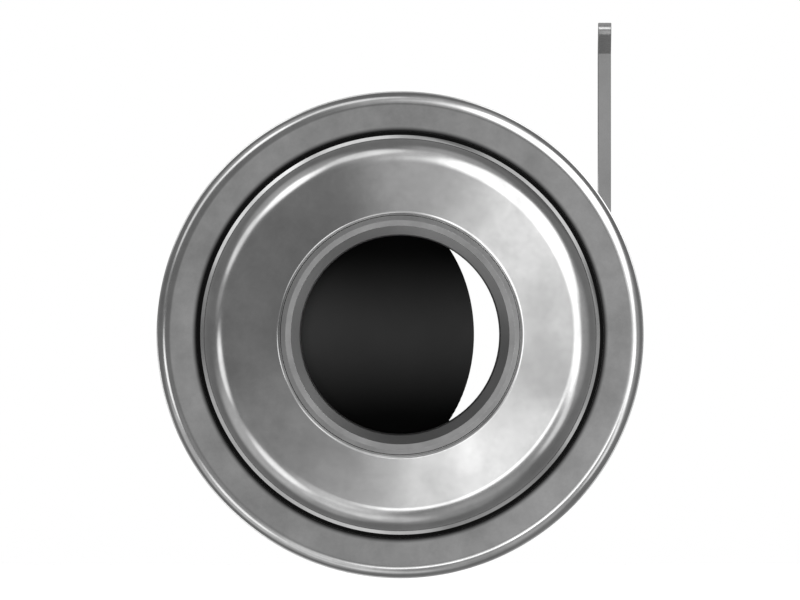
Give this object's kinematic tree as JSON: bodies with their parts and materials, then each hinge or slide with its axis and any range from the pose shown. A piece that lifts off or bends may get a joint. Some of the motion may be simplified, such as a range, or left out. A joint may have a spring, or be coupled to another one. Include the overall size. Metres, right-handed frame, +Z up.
{
  "type": "non-return duct valve",
  "caption": "In-line metal duct valve whose rubber-faced flap swings open with the flow and shuts on a seat against back flow, with a lever that locks it shut.",
  "frame": {"origin": "centre of the inlet spigot's mouth, on the duct axis", "axes": "+Y along the duct in the flow's direction, +Z up along the flap's hinge line, +X to the lock lever's side"},
  "size_m": [0.2438, 0.2671, 0.2784],
  "materials": {
    "satin_steel": "satin, spun",
    "lever_steel": "satin",
    "bright_steel": "machined",
    "black_rubber": "smooth matt",
    "bush_bronze": "machined"
  },
  "bodies": {
    "body": {"inlet_spigot": "satin_steel", "inlet_dish": "satin_steel", "front_ring": "satin_steel", "front_gasket": "black_rubber", "casing": "satin_steel", "outlet_cone": "satin_steel", "outlet_spigot": "satin_steel", "bulkhead": "satin_steel", "seat_nozzle": "satin_steel", "seat_seal": "black_rubber", "hinge_lug_upper": "satin_steel", "hinge_lug_lower": "satin_steel", "hinge_pin": "bright_steel", "pin_clips": "bright_steel", "stop_post": "satin_steel", "stop_buffer": "black_rubber", "lock_boss": "satin_steel", "lock_bush": "bush_bronze"},
    "flap": {"flap_facing": "black_rubber", "flap_plate": "satin_steel", "hinge_strap": "satin_steel", "flap_studs": "bright_steel", "flap_nuts": "bright_steel", "hinge_bush_upper": "bush_bronze", "hinge_bush_lower": "bush_bronze"},
    "lever": {"lock_shaft": "bright_steel", "lock_finger": "satin_steel", "lock_lever": "lever_steel", "lever_washer": "bright_steel", "lever_nut": "bright_steel"}
  },
  "joints": [
    {"name": "flap_hinge", "type": "hinge", "parent": "body", "child": "flap", "pos_m": [-0.077, 0.08997, 0], "axis": [0, 0, 1], "range_deg": [-40, 35]},
    {"name": "lock_turn", "type": "hinge", "parent": "body", "child": "lever", "pos_m": [0.0994, 0.12297, 0], "axis": [-1, 0, 0], "range_deg": [0, 90]}
  ]
}
